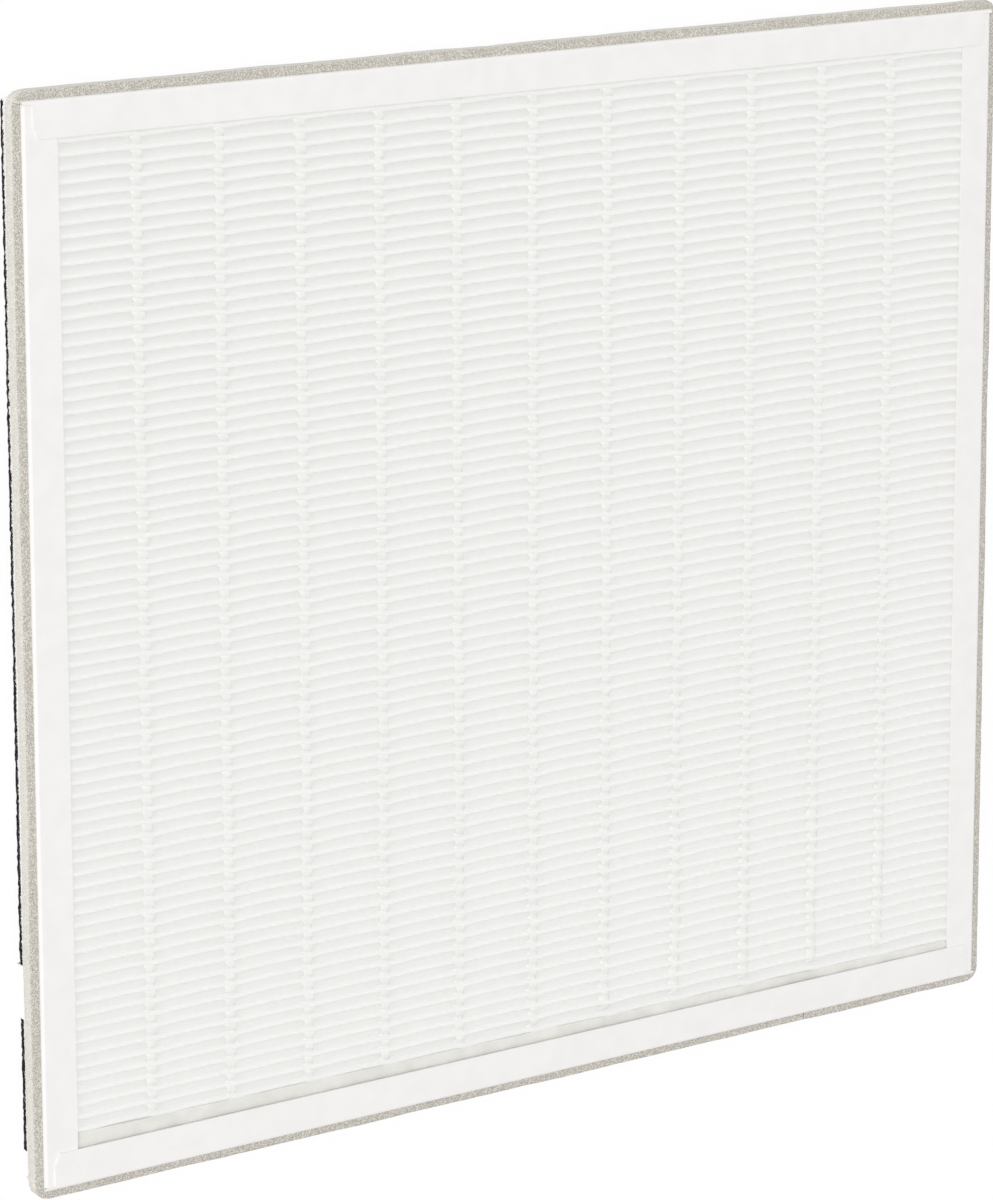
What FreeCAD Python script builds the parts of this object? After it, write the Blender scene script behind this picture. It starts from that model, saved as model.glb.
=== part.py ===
import FreeCAD, Part
import math
import os

Vector = FreeCAD.Vector
UP = Vector(0, 0, 1)

# All sizes are in millimetres.
# The panel lies on its back: X runs to the right, Y to the top edge, Z out of the pleated front.

# Frame, folded from thin board into four channels.
FRAME_WIDTH = 325.0
FRAME_HEIGHT = 300.0
FRAME_DEPTH = 11.5
BOARD = 0.5
FOLD_RADIUS = 1.0
FLANGE_WIDTH = 10.3

# Ends of the front flanges of the two rails, which lap over the stiles.
RAIL_END_SETBACK = 3.0
RAIL_CLIP_ALONG = 1.6
RAIL_CLIP_ACROSS = 3.2

# Pleated paper.
PLEAT_PITCH = 3.65
PAPER = 0.4
FOLD_NOSE = 0.6
CREST_CLEARANCE = 0.2

# Potting between the pleats and the channels.
SEAL_WIDTH = 2.0
FOOT_SEAL_REVEAL = 2.9
FOOT_SEAL_DROP = 1.2

# Hot-melt beads that hold the pleats apart.
BEAD_PITCH = 25.4
BEAD_WIDTH = 2.6
BEAD_FILM = 0.4
BEAD_REACH = 3.0
BEAD_MARGIN = 24.0
BEAD_OFFSET = -1.2

# Foam gasket glued round the outside of the frame.
GASKET_THICKNESS = 2.8
GASKET_WIDTH = 4.1
GASKET_SETBACK = 1.4
GASKET_CORNER = 4.4
GASKET_EDGE = 0.7
GASKET_JOINT = 0.3
GASKET_JOINT_FROM_RIGHT = 65.0

# Carbon felt glued over the back. It ends a little short of the foot.
FELT_THICKNESS = 2.5
FELT_INSET = 0.2
FELT_FOOT_INSET = 7.0
FELT_CORNER = 1.5

# Ribbon tab that wraps the edge of the felt.
TAB_WIDTH = 15.2
TAB_THICKNESS = 0.4
TAB_TUCK = 25.0
TAB_FOLD = 0.8
TAB_FROM_FOOT = 54.2
TAB_GAP = 0.3

# Levels and half sizes that the pieces share.
frame_back = FELT_THICKNESS
frame_front = frame_back + FRAME_DEPTH
stile_front = frame_front - BOARD
half_width = FRAME_WIDTH / 2
half_height = FRAME_HEIGHT / 2
inner_fold = FOLD_RADIUS - BOARD
media_front = stile_front - BOARD - CREST_CLEARANCE
media_back = frame_back + BOARD + CREST_CLEARANCE
media_right = half_width - BOARD - SEAL_WIDTH
media_top = half_height - BOARD - SEAL_WIDTH
media_bottom = -(half_height - FLANGE_WIDTH) + FOOT_SEAL_REVEAL
gasket_front = frame_front - GASKET_SETBACK
gasket_back = gasket_front - GASKET_WIDTH


def block(x_low, x_high, y_low, y_high, z_low, z_high):
    corner = Vector(x_low, y_low, z_low)
    return Part.makeBox(x_high - x_low, y_high - y_low, z_high - z_low, corner)


def prism(points, push):
    closed = points + points[:1]
    return Part.Face(Part.makePolygon(closed)).extrude(push)


def turned(shape, angle):
    copy = shape.copy()
    copy.rotate(Vector(0, 0, 0), UP, angle)
    return copy


def moved(shape, x, y):
    copy = shape.copy()
    copy.translate(Vector(x, y, 0))
    return copy


def edges_along(shape, axis, x=None, z=None):
    """Straight edges parallel to an axis, kept to one x or one z where that is given."""
    found = []
    for edge in shape.Edges:
        start, end = edge.Vertexes[0].Point, edge.Vertexes[-1].Point
        direction = end - start
        if direction.Length < 1e-6 or direction.cross(axis).Length > 1e-6 * direction.Length:
            continue
        if x is not None and abs(start.x - x) > 1e-6:
            continue
        if z is not None and abs(start.z - z) > 1e-6:
            continue
        found.append(edge)
    return found


# Channels of folded board.

def channel(length, back, front):
    """A folded channel along Y: its wall stands on x = 0 and both flanges reach towards +X."""
    outside = block(0, FLANGE_WIDTH, -length / 2, length / 2, back, front)
    outside = outside.makeFillet(FOLD_RADIUS, edges_along(outside, Vector(0, 1, 0), x=0))
    beyond = FLANGE_WIDTH + BOARD
    inside = block(BOARD, beyond, -length, length, back + BOARD, front - BOARD)
    inside = inside.makeFillet(inner_fold, edges_along(inside, Vector(0, 1, 0), x=BOARD))
    return outside.cut(inside)


def stile():
    """A side channel, whose wall reaches the walls of the rails between their folds."""
    length = FRAME_HEIGHT - 2 * BOARD
    body = channel(length, frame_back, stile_front)
    fold_start = half_height - FOLD_RADIUS
    for side in (-1, 1):
        y_low, y_high = sorted((side * fold_start, side * half_height))
        body = body.cut(block(-1, FLANGE_WIDTH + 1, y_low, y_high, stile_front - FOLD_RADIUS, frame_front))
        body = body.cut(block(-1, FLANGE_WIDTH + 1, y_low, y_high, 0, frame_back + FOLD_RADIUS))
    return body


def rail():
    """A top or bottom channel: its front flange laps over the stiles, its back one butts them."""
    body = channel(FRAME_WIDTH, frame_back, frame_front)
    lap_end = half_width - RAIL_END_SETBACK
    butt_end = half_width - FLANGE_WIDTH
    beyond = FLANGE_WIDTH + 1
    under_lap = stile_front - FOLD_RADIUS
    for side in (-1, 1):
        y_low, y_high = sorted((side * lap_end, side * (half_width + 1)))
        body = body.cut(block(FOLD_RADIUS, beyond, y_low, y_high, under_lap, frame_front + 1))
        y_low, y_high = sorted((side * butt_end, side * (half_width + 1)))
        body = body.cut(block(FOLD_RADIUS, beyond, y_low, y_high, frame_back - 1, frame_back + FOLD_RADIUS))
        corner = Vector(FLANGE_WIDTH, side * lap_end, under_lap)
        across = corner - Vector(RAIL_CLIP_ACROSS, 0, 0)
        along = corner - Vector(0, side * RAIL_CLIP_ALONG, 0)
        body = body.cut(prism([corner, across, along], UP * (2 * FOLD_RADIUS)))
    return body


# Pleated paper.

pleat_run = media_top - media_bottom
pleat_count = round(pleat_run / PLEAT_PITCH)
pleat_step = pleat_run / pleat_count
fold_height = media_front - media_back
flank_height = fold_height - FOLD_NOSE
nose_half = (PAPER * flank_height - FOLD_NOSE * pleat_step / 2) / (flank_height - FOLD_NOSE)
crests = [media_bottom + pleat_step * (index + 0.5) for index in range(pleat_count)]


def pleated_media():
    """One sheet of paper folded into deep pleats that run from side to side."""
    upper, lower = [], []
    for crest in crests:
        root = crest - pleat_step / 2
        upper.append((root, media_back + FOLD_NOSE))
        upper.append((crest - nose_half, media_front))
        upper.append((crest + nose_half, media_front))
        lower.append((max(root - nose_half, media_bottom), media_back))
        lower.append((root + nose_half, media_back))
        lower.append((crest, media_front - FOLD_NOSE))
    upper.append((media_top, media_back + FOLD_NOSE))
    lower.append((media_top - nose_half, media_back))
    lower.append((media_top, media_back))
    outline = [Vector(-media_right, y, z) for y, z in upper + lower[::-1]]
    return prism(outline, Vector(2 * media_right, 0, 0))


# Hot-melt beads.

def bead_places():
    spread = 2 * media_right - 2 * BEAD_MARGIN
    count = math.floor(spread / BEAD_PITCH) + 1
    first = BEAD_OFFSET - BEAD_PITCH * (count - 1) / 2
    return [first + BEAD_PITCH * index for index in range(count)]


def front_bead(x):
    """A comb across the pleats: a film over the crests, with a wedge of glue in each groove."""
    outline = [Vector(x, crests[0] - nose_half, media_front + BEAD_FILM)]
    for index, crest in enumerate(crests):
        outline.append(Vector(x, crest - nose_half, media_front))
        outline.append(Vector(x, crest + nose_half, media_front))
        if index < len(crests) - 1:
            outline.append(Vector(x, crest + pleat_step / 2, media_front - BEAD_REACH))
    outline.append(Vector(x, crests[-1] + nose_half, media_front + BEAD_FILM))
    return moved(prism(outline, Vector(BEAD_WIDTH, 0, 0)), -BEAD_WIDTH / 2, 0)


def rear_bead(x):
    """A thin line of glue over the rear crests, within the opening of the frame."""
    y_low = media_bottom + nose_half
    y_high = half_height - FLANGE_WIDTH - nose_half
    left = x - BEAD_WIDTH / 2
    return block(left, left + BEAD_WIDTH, y_low, y_high, media_back - BEAD_FILM, media_back)


# Potting.

def side_seal():
    """Potting along the left stile, where the ends of the pleats stand in it."""
    z_low, z_high = frame_back + BOARD, stile_front - BOARD
    wall = -half_width + BOARD
    body = block(wall, wall + SEAL_WIDTH, media_bottom, media_top, z_low, z_high)
    return body.makeFillet(inner_fold, edges_along(body, Vector(0, 1, 0), x=wall))


def cross_seal(y_wall, y_inner, z_high):
    """Potting along a rail, between its wall and the last pleat."""
    reach = half_width - FOLD_RADIUS
    y_low, y_high = sorted((y_wall, y_inner))
    body = block(-reach, reach, y_low, y_high, frame_back + BOARD, z_high)
    low_edges = edges_along(body, Vector(1, 0, 0), z=frame_back + BOARD)
    at_wall = [edge for edge in low_edges if abs(edge.Vertexes[0].Point.y - y_wall) < 1e-6]
    return body.makeFillet(inner_fold, at_wall)


# Foam gasket.

def foam_gasket():
    """A foam strip round the outside of the frame, its two ends butted at the foot."""
    outer_x = half_width + GASKET_THICKNESS
    outer_y = half_height + GASKET_THICKNESS
    body = block(-outer_x, outer_x, -outer_y, outer_y, gasket_back, gasket_front)
    body = body.makeFillet(GASKET_CORNER, edges_along(body, UP))
    rims = [edge for edge in body.Edges if abs(edge.BoundBox.ZLength) < 1e-6]
    body = body.makeChamfer(GASKET_EDGE, rims)
    hole = block(-half_width, half_width, -half_height, half_height, gasket_back - 1, gasket_front + 1)
    body = body.cut(hole)
    x_high = half_width - GASKET_JOINT_FROM_RIGHT
    x_low = x_high - GASKET_JOINT
    slit = block(x_low, x_high, -outer_y - 1, -half_height + 1, gasket_back - 1, gasket_front + 1)
    return body.cut(slit)


# Ribbon tab and felt.

tab_y = -half_height + TAB_FROM_FOOT


def pull_tab():
    """A ribbon glued up the left wall and folded under the felt."""
    outer_x = -half_width - TAB_THICKNESS
    y_low, y_high = tab_y - TAB_WIDTH / 2, tab_y + TAB_WIDTH / 2
    outside = block(outer_x, -half_width + TAB_TUCK, y_low, y_high, 0, gasket_back - TAB_GAP)
    outside = outside.makeFillet(TAB_FOLD, edges_along(outside, Vector(0, 1, 0), x=outer_x, z=0))
    inside = block(-half_width, half_width, y_low - 1, y_high + 1, TAB_THICKNESS, frame_front)
    fold = edges_along(inside, Vector(0, 1, 0), x=-half_width, z=TAB_THICKNESS)
    inside = inside.makeFillet(TAB_FOLD - TAB_THICKNESS, fold)
    return outside.cut(inside)


def carbon_felt():
    """A sheet of felt over the back, pressed in where the ribbon lies under it."""
    reach_x = half_width - FELT_INSET
    y_foot, y_head = FELT_FOOT_INSET - half_height, half_height - FELT_INSET
    sheet = block(-reach_x, reach_x, y_foot, y_head, 0, FELT_THICKNESS)
    sheet = sheet.makeFillet(FELT_CORNER, edges_along(sheet, UP))
    y_low, y_high = tab_y - TAB_WIDTH / 2, tab_y + TAB_WIDTH / 2
    dent = block(-half_width - 1, -half_width + TAB_TUCK, y_low, y_high, -1, TAB_THICKNESS)
    fold_end = -half_width + TAB_FOLD - TAB_THICKNESS
    fold_room = block(-half_width - 1, fold_end, y_low, y_high, -1, TAB_FOLD)
    return sheet.cut(dent).cut(fold_room)


def pieces():
    named = {}
    named["left_stile"] = moved(stile(), -half_width, 0)
    named["right_stile"] = moved(turned(stile(), 180), half_width, 0)
    named["bottom_rail"] = moved(turned(rail(), 90), 0, -half_height)
    named["top_rail"] = moved(turned(rail(), -90), 0, half_height)
    named["pleated_media"] = pleated_media()
    for index, x in enumerate(bead_places(), start=1):
        named[f"glue_bead_front_{index:02d}"] = front_bead(x)
        named[f"glue_bead_rear_{index:02d}"] = rear_bead(x)
    left_seal = side_seal()
    named["seal_left"] = left_seal
    named["seal_right"] = left_seal.mirror(Vector(0, 0, 0), Vector(1, 0, 0))
    wall = half_height - BOARD
    named["seal_top"] = cross_seal(wall, media_top, stile_front - BOARD)
    named["seal_bottom"] = cross_seal(-wall, media_bottom, media_front - FOOT_SEAL_DROP)
    named["foam_gasket"] = foam_gasket()
    named["carbon_felt"] = carbon_felt()
    named["pull_tab"] = pull_tab()
    return named


os.makedirs("parts", exist_ok=True)
for name, shape in pieces().items():
    if not shape.isValid() or len(shape.Solids) != 1:
        raise SystemExit(f"{name} is not one valid solid")
    shape.exportStep(f"parts/{name}.step")
    print(name, round(shape.Volume / 1000, 3), "cm3")
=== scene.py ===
# %% [markdown]
# # A pleated air purifier filter
# This lesson dresses a flat filter panel that lies on its back. The construction comes in as a fixed
# frame, in metres: four folded channels, the pleated pack, glue beads, potting, a foam gasket, a felt
# back and a ribbon tab. What is folded from board keeps its solid and gets a finish. What is soft or
# uneven, such as paper, glue, foam, felt and ribbon, is modelled again here, in the place of its solid.

# %% Load the frame
import math

import bpy
from mathutils import Matrix, Vector, noise


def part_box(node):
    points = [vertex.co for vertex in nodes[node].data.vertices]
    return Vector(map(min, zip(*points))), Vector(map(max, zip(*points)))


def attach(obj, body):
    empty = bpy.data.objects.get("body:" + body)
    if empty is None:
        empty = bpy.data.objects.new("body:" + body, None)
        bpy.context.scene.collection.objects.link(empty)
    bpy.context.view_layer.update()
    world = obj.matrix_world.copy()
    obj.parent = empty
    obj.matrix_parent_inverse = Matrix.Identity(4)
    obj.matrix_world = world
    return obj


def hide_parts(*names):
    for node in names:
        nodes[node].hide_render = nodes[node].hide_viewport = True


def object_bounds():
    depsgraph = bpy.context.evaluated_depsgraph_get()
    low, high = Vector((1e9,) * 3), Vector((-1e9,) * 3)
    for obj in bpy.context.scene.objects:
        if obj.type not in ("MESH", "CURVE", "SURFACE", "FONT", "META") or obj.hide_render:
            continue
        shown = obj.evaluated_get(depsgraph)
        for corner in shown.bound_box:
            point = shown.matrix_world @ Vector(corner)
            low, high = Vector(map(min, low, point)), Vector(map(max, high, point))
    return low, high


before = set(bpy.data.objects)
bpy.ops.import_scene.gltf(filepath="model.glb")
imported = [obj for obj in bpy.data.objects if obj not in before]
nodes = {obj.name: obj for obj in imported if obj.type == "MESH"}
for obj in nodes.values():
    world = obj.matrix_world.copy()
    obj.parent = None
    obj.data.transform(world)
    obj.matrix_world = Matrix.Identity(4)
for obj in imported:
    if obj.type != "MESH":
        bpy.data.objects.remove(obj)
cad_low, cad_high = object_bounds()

print("pieces in the frame:", len(nodes))

# %% [markdown]
# Sizes are easiest to read in millimetres, so one small function turns them to Blender's metres. An
# operator acts on all that is selected, and the loaded pieces arrive selected, so everything is let
# go before each new piece, and a piece that is worked on is chosen alone.

# %% Millimetres and selection
def mm(value):
    return value / 1000


def let_go():
    if bpy.context.mode != "OBJECT":
        bpy.ops.object.mode_set(mode="OBJECT")
    bpy.ops.object.select_all(action="DESELECT")


def choose(piece):
    let_go()
    piece.select_set(True)
    bpy.context.view_layer.objects.active = piece


let_go()
print("panel in mm:", [round((high - low) * 1000, 1) for low, high in zip(cad_low, cad_high)])
print("pieces still selected:", len(bpy.context.selected_objects))

# %% [markdown]
# A few helpers serve every piece that is modelled here. Edit mode is opened on one object and closed
# again. A primitive gets its name as soon as it is added. A box is a cube whose corners are moved, so
# that the object itself stays at the origin. A modifier is applied at once, because the kept part is
# plain meshes. A closed mesh has its stray doubles merged and its faces turned outwards.

# %% Helpers for modelling
SAME_POINT_MM = 0.001
WELD_MM = 0.01


def open_mesh(piece):
    choose(piece)
    bpy.ops.object.mode_set(mode="EDIT")
    bpy.ops.mesh.select_all(action="DESELECT")


def close_mesh():
    bpy.ops.object.mode_set(mode="OBJECT")


def new_piece(name):
    """Names the primitive that was just added, and its mesh."""
    piece = bpy.context.active_object
    piece.name = name
    piece.data.name = name
    return piece


def new_box(name, low, high):
    let_go()
    bpy.ops.mesh.primitive_cube_add(size=1)
    box = new_piece(name)
    for vertex in box.data.vertices:
        shares = vertex.co + Vector((0.5, 0.5, 0.5))
        vertex.co = Vector([a + share * (b - a) for a, b, share in zip(low, high, shares)])
    return box


def apply_modifier(piece, kind, **settings):
    choose(piece)
    modifier = piece.modifiers.new(kind.lower(), kind)
    for key, value in settings.items():
        setattr(modifier, key, value)
    bpy.ops.object.modifier_apply(modifier=modifier.name)


def repeat_along_y(piece, count, step):
    """Repeats a piece and welds each copy to the next."""
    apply_modifier(piece, "ARRAY", count=count, use_relative_offset=False, use_constant_offset=True,
                   constant_offset_displace=(0, step, 0), use_merge_vertices=True,
                   merge_threshold=mm(WELD_MM))


def face_outwards(piece):
    open_mesh(piece)
    bpy.ops.mesh.select_all(action="SELECT")
    bpy.ops.mesh.remove_doubles(threshold=mm(SAME_POINT_MM))
    bpy.ops.mesh.normals_make_consistent(inside=False)
    close_mesh()


def smooth(piece, degrees):
    choose(piece)
    bpy.ops.object.shade_smooth_by_angle(angle=math.radians(degrees))


print("copies closer than", WELD_MM, "mm are welded, stray doubles closer than", SAME_POINT_MM, "mm")

# %% [markdown]
# The camera looks at the pleated front from the left and from a little above the middle, as the
# photograph does. The panel lies down, so what was level in the photograph is the view on to its
# face here, and the camera's upright follows the panel's own top edge. A small shift keeps the left
# and right edges of the panel as nearly parallel as they are in the picture.

# %% Camera
FROM_LEFT_DEG = 34.31
FROM_TOP_DEG = 14.24
ROLL_DEG = -0.1
VIEW_DISTANCE_MM = 1366.8
AIM_X_MM = -14.6
AIM_Y_MM = 64.4
LENS_MM = 144.0
SENSOR_MM = 36.0
SHIFT_SHARE = -0.2
NEAREST_MM = 10
FARTHEST_MM = 20000


def make_camera():
    """Places the camera, and gives the direction from the panel towards it."""
    face = cad_high.z
    left, top = math.radians(FROM_LEFT_DEG), math.radians(FROM_TOP_DEG)
    toward = Vector((-math.sin(left) * math.cos(top), math.sin(top), math.cos(left) * math.cos(top)))
    place = Vector((0, 0, face)) + toward * mm(VIEW_DISTANCE_MM)
    forward = (Vector((mm(AIM_X_MM), mm(AIM_Y_MM), face)) - place).normalized()
    level = forward.cross(Vector((0, 1, 0))).normalized()
    upright = level.cross(forward)
    roll = math.radians(ROLL_DEG)
    right = level * math.cos(roll) + upright * math.sin(roll)
    up = right.cross(forward)
    turn = Matrix((right, up, -forward)).transposed()
    data = bpy.data.cameras.new("camera")
    data.lens = LENS_MM
    data.sensor_width = SENSOR_MM
    data.shift_y = SHIFT_SHARE
    data.clip_start = mm(NEAREST_MM)
    data.clip_end = mm(FARTHEST_MM)
    camera = bpy.data.objects.new("camera", data)
    camera.matrix_world = Matrix.Translation(place) @ turn.to_4x4()
    bpy.context.scene.collection.objects.link(camera)
    bpy.context.scene.camera = camera
    return toward


view_direction = make_camera()
bpy.context.scene.view_settings.view_transform = "Standard"
print("camera looks from", [round(part, 3) for part in view_direction])

# %% [markdown]
# Every finish is a small network of shader nodes. One function turns a hex colour, as a paint chart
# gives it, into the linear values that the shader wants. One adds a node with its settings and
# links, so that each finish below reads as a short list. A socket goes by its name, or by its number
# where two have the same name: a Mix node takes its two colours at 6 and 7 and gives one at 2.

# %% Colours and nodes
COLOUR_A = 6
COLOUR_B = 7
COLOUR_OUT = 2


def paint(hex_colour):
    """A colour chart's sRGB value as linear red, green, blue and alpha."""
    channels = [int(hex_colour[start:start + 2], 16) / 255 for start in (0, 2, 4)]
    linear = [c / 12.92 if c <= 0.04045 else ((c + 0.055) / 1.055) ** 2.4 for c in channels]
    return (*linear, 1.0)


def wire(tree, node, links):
    """Feeds the sockets of a node, each from the one that it is paired with."""
    for key, source in links.items():
        tree.links.new(source, node.inputs[key])


def add(tree, kind, settings=None, links=None):
    """Adds a node: settings fill its properties or sockets, and links say what feeds a socket."""
    node = tree.nodes.new(kind)
    for key, value in (settings or {}).items():
        if isinstance(key, str) and hasattr(node, key):
            setattr(node, key, value)
        else:
            node.inputs[key].default_value = value
    wire(tree, node, links or {})
    return node


print("a mid grey in linear light:", [round(channel, 3) for channel in paint("808080")])

# %% [markdown]
# A finish starts from Blender's Principled surface, which stands for most solid stuff. Its patterns
# read the place on the object in metres, so the scale of a pattern is worked out from the size of its
# real features. Most patterns are turned to colour in one way: two colours, blended where the
# pattern runs from one value to another.

# %% Finishes and patterns
def new_finish(name, surface):
    """A material with a Principled surface, and its tree."""
    finish = bpy.data.materials.new(name)
    finish.use_nodes = True
    tree = finish.node_tree
    shader = tree.nodes["Principled BSDF"]
    for key, value in surface.items():
        shader.inputs[key].default_value = value
    return finish, tree, shader


def per_mm(size):
    """The scale of a pattern on Object coordinates whose features measure this many millimetres."""
    return 1000 / size


def two_tone(tree, pattern, low, high, from_value, to_value):
    """Blends two colours where a pattern runs from one value to the other."""
    share = add(tree, "ShaderNodeMapRange", {"From Min": from_value, "From Max": to_value},
                {"Value": pattern})
    mix = add(tree, "ShaderNodeMix", {"data_type": "RGBA", COLOUR_A: paint(low), COLOUR_B: paint(high)},
              {"Factor": share.outputs["Result"]})
    return mix.outputs[COLOUR_OUT]


def dress(piece, finish):
    """Puts one finish in every material slot of a piece."""
    if not piece.data.materials:
        piece.data.materials.append(finish)
    for index in range(len(piece.data.materials)):
        piece.data.materials[index] = finish


print("scale of a pattern 6 mm wide:", round(per_mm(6), 1))

# %% [markdown]
# The floor is a plain pale sheet. For the camera it is mostly white, as the photograph's ground is,
# and the part of it that is a real surface keeps the panel's soft shadow. One large soft lamp hangs
# far off behind the camera, a little to its left. From there it reaches down into the pleats and on
# to the side wall that the eye sees, and its light is even over the panel. A white world fills the
# rest. Matt surfaces get its dimmed light, while the eye and a gloss see it plain white.

# %% Floor, lamp and world
FLOOR_SPAN_MM = 9000
SHADOW_SHARE = 0.08
WORLD_STRENGTH = 0.66
LAMP_WATTS = 452.0
LAMP_SPAN_MM = 5400
LAMP_DISTANCE_MM = 9000
LAMP_TO_LEFT = 0.1


def make_floor():
    let_go()
    bpy.ops.mesh.primitive_plane_add(size=mm(FLOOR_SPAN_MM), location=(0, 0, 0))
    floor = new_piece("floor")
    finish, tree, shader = new_finish("matt_paper_sweep", {
        "Roughness": 1.0, "Base Color": paint("FCFCFC")})
    rays = add(tree, "ShaderNodeLightPath")
    white = add(tree, "ShaderNodeEmission", {"Strength": 1.0})
    share = add(tree, "ShaderNodeMath", {"operation": "MULTIPLY", 1: 1 - SHADOW_SHARE},
                {0: rays.outputs["Is Camera Ray"]})
    mix = add(tree, "ShaderNodeMixShader", None,
              {"Fac": share.outputs[0], 1: shader.outputs[0], 2: white.outputs[0]})
    wire(tree, tree.nodes["Material Output"], {"Surface": mix.outputs[0]})
    floor.data.materials.append(finish)


def make_world():
    world = bpy.data.worlds.new("white_room")
    world.use_nodes = True
    tree = world.node_tree
    tree.nodes.clear()
    rays = add(tree, "ShaderNodeLightPath")
    seen = add(tree, "ShaderNodeMath", {"operation": "MAXIMUM"},
               {0: rays.outputs["Is Camera Ray"], 1: rays.outputs["Is Glossy Ray"]})
    through = add(tree, "ShaderNodeMath", {"operation": "MAXIMUM"},
                  {0: seen.outputs[0], 1: rays.outputs["Is Transmission Ray"]})
    room = add(tree, "ShaderNodeBackground", {"Strength": WORLD_STRENGTH, "Color": paint("FFFFFF")})
    white = add(tree, "ShaderNodeBackground", {"Strength": 1.0, "Color": paint("FFFFFF")})
    mix = add(tree, "ShaderNodeMixShader", None,
              {"Fac": through.outputs[0], 1: room.outputs[0], 2: white.outputs[0]})
    add(tree, "ShaderNodeOutputWorld", None, {"Surface": mix.outputs[0]})
    bpy.context.scene.world = world


def make_lamp():
    data = bpy.data.lights.new("soft_box", "AREA")
    data.energy = LAMP_WATTS
    data.size = mm(LAMP_SPAN_MM)
    lamp = bpy.data.objects.new("soft_box", data)
    toward = (view_direction + Vector((-LAMP_TO_LEFT, 0.0, 0.0))).normalized()
    lamp.location = toward * mm(LAMP_DISTANCE_MM)
    lamp.rotation_euler = (-toward).to_track_quat("-Z", "Y").to_euler()
    bpy.context.scene.collection.objects.link(lamp)
    return lamp


make_floor()
make_world()
lamp = make_lamp()
print("lamp at, in m:", [round(part, 2) for part in lamp.location])

# %% [markdown]
# The frame is folded from white coated board, like the board of a good carton. A thin clay coat
# makes it smooth and matt, with a faint mottle where the fibres lie under the coat. Its white is a
# little warm. The mottle is 6 mm wide and hardly there. The grain of the coat is drawn 0.6 mm wide,
# coarser than it is, so that it still breaks up the gloss.

# %% Coated board
FRAME_PIECES = ("left_stile", "right_stile", "top_rail", "bottom_rail")


def coated_board():
    finish, tree, shader = new_finish("coated_white_board", {"Roughness": 0.62, "IOR": 1.5})
    place = add(tree, "ShaderNodeTexCoord")
    mottle = add(tree, "ShaderNodeTexNoise", {"Scale": per_mm(6), "Detail": 3.0},
                 {"Vector": place.outputs["Object"]})
    colour = two_tone(tree, mottle.outputs["Fac"], "ECEAE8", "EFEDEB", 0.35, 0.65)
    grain = add(tree, "ShaderNodeTexNoise", {"Scale": per_mm(0.6), "Detail": 4.0},
                {"Vector": place.outputs["Object"]})
    bump = add(tree, "ShaderNodeBump", {"Distance": mm(0.01), "Strength": 0.3},
               {"Height": grain.outputs["Fac"]})
    wire(tree, shader, {"Base Color": colour, "Normal": bump.outputs["Normal"]})
    return finish


BOARD_FINISH = coated_board()
for piece_name in FRAME_PIECES:
    dress(nodes[piece_name], BOARD_FINISH)
print("board on", len(FRAME_PIECES), "channels")

# %% [markdown]
# The filter paper is a felt of very fine plastic fibres. It is bright white, has no gloss at all and
# lets light through, so that the grooves between the pleats are pale grey and not dark. It is also
# given a faint glow, though it is no lamp: painted light that lifts the shade deep in the grooves. The
# real fibres are far too fine to show, so they are drawn 0.7 mm wide, and nearly three times as long
# as wide because they were laid along the pleats.

# %% Filter paper
LIGHT_THROUGH = 0.35
# Painted light: a glow, though the paper is no lamp, that lifts the shade deep in the grooves.
PAINTED_GLOW = 0.27
ALONG_PLEATS = (0.35, 1.0, 1.0)


def filter_paper():
    # Painted light: the emission lifts the shade in the grooves.
    finish, tree, shader = new_finish("melt_blown_filter_paper", {
        "Roughness": 0.95, "IOR": 1.45, "Specular IOR Level": 0.1, "Emission Color": paint("FAFAF8"),
        "Emission Strength": PAINTED_GLOW / (1 - LIGHT_THROUGH)})
    place = add(tree, "ShaderNodeTexCoord")
    stretch = add(tree, "ShaderNodeMapping", {"Scale": ALONG_PLEATS},
                  {"Vector": place.outputs["Object"]})
    fibre = add(tree, "ShaderNodeTexNoise", {"Scale": per_mm(0.7), "Detail": 5.0, "Roughness": 0.7},
                {"Vector": stretch.outputs["Vector"]})
    colour = two_tone(tree, fibre.outputs["Fac"], "C3C3C3", "CCCCCC", 0.3, 0.7)
    bump = add(tree, "ShaderNodeBump", {"Distance": mm(0.06), "Strength": 0.5},
               {"Height": fibre.outputs["Fac"]})
    wire(tree, shader, {"Base Color": colour, "Normal": bump.outputs["Normal"]})
    through = add(tree, "ShaderNodeBsdfTranslucent", {"Color": paint("EFEFED")})
    mix = add(tree, "ShaderNodeMixShader", {"Fac": LIGHT_THROUGH},
              {1: shader.outputs[0], 2: through.outputs[0]})
    wire(tree, tree.nodes["Material Output"], {"Surface": mix.outputs[0]})
    return finish


PAPER_FINISH = filter_paper()
print("share of light that goes through the paper:", LIGHT_THROUGH)

# %% [markdown]
# The pack is one sheet, folded up and down into deep pleats. Its solid says where it lies and so how
# many pleats of this pitch it holds. One pleat has a tight root, straight walls and a round crest. It
# is written here as the height of the sheet at a few places on the way across.

# %% Section of one pleat
PLEAT_PITCH_MM = 3.65
PAPER_MM = 0.4
CREST_RADIUS_MM = 0.8
CREST_DEGREES = (0, 50)
ROOT_HALF_MM = 0.16
ROOT_RISE_MM = 0.5

pack_low, pack_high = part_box("pleated_media")
PLEATS = round((pack_high.y - pack_low.y) / mm(PLEAT_PITCH_MM))
PLEAT_STEP = (pack_high.y - pack_low.y) / PLEATS


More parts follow.
